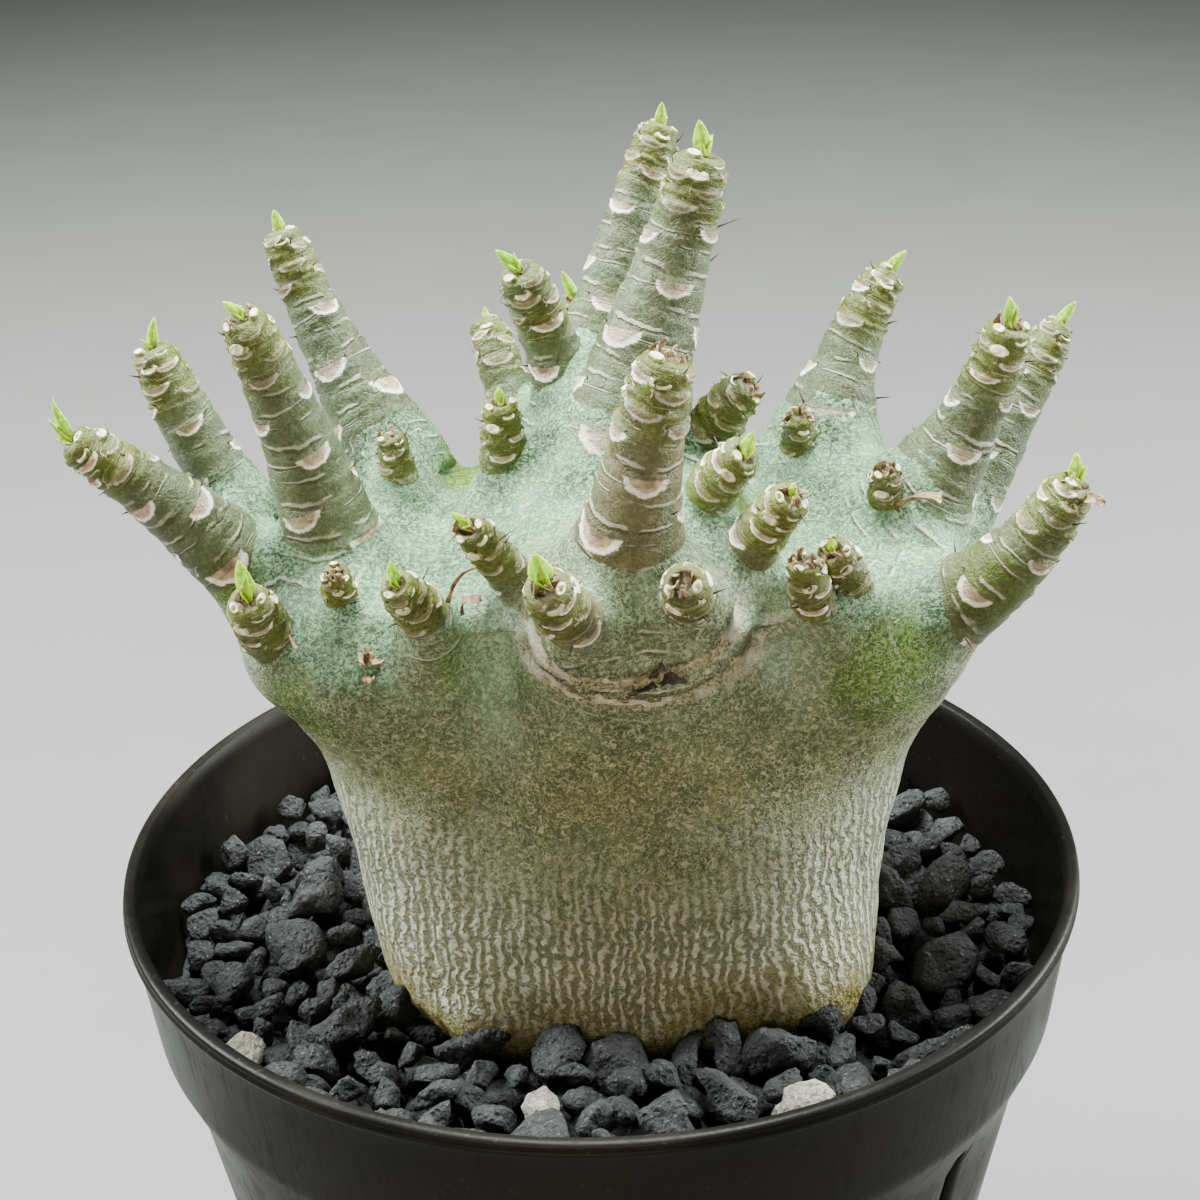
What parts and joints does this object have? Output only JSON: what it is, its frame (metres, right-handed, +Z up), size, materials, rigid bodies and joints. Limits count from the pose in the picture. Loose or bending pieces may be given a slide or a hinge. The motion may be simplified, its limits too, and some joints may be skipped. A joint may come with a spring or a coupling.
{
  "type": "potted desert rose plant",
  "caption": "Potted desert rose: a swollen green stem base with ringed finger-like branches and tiny leaves, in dark gravel in a round black plastic nursery pot.",
  "frame": {"origin": "middle of the pot's flat underside, on the surface that it stands on", "axes": "+Z up through the pot's axis, +X to the right and +Y away as seen in the picture"},
  "size_m": [0.1519, 0.15, 0.2388],
  "materials": {
    "pot_plastic": "black moulded plastic, satin outside with a faint dusty film, glossier inside",
    "dark_gravel": "charcoal porous lava chips, matt, angular and pitted",
    "pale_stone": "pale grey-beige pumice, matt and pitted",
    "plant_skin": "living grey-green skin with fine pale wrinkles, olive-brown lower down, pale half-moon leaf scars",
    "young_leaf": "soft bright yellow-green leaf, slightly waxy"
  },
  "bodies": {
    "root": {"pot": "pot_plastic", "gravel_soil": "dark_gravel", "pale_stone_front": "pale_stone", "pale_stone_front_right": "pale_stone", "pale_stone_left": "pale_stone", "caudex": "plant_skin", "leaf_far_left": "young_leaf", "leaf_left_back_low": "young_leaf", "leaf_left_tall": "young_leaf", "leaf_left_back_tall": "young_leaf", "leaf_left_low_stub": "young_leaf", "leaf_left_front_stub": "young_leaf", "leaf_mid_left_stub": "young_leaf", "leaf_front_leaf_stub": "young_leaf", "leaf_mid_back_small": "young_leaf", "leaf_mid_back": "young_leaf", "leaf_mid_far_stub": "young_leaf", "leaf_centre_back_tall": "young_leaf", "leaf_centre_tall": "young_leaf", "leaf_crown_left_stub": "young_leaf", "leaf_green_side_stub": "young_leaf", "leaf_side_stub": "young_leaf", "leaf_right_back_tall": "young_leaf", "leaf_right_tall": "young_leaf", "leaf_right_far_back": "young_leaf", "leaf_right_low": "young_leaf", "leaf_right_front_stub": "young_leaf", "leaf_rear_left": "young_leaf", "leaf_rear_middle_left": "young_leaf", "leaf_rear_middle_right": "young_leaf", "leaf_rear_right": "young_leaf"}
  },
  "joints": []
}
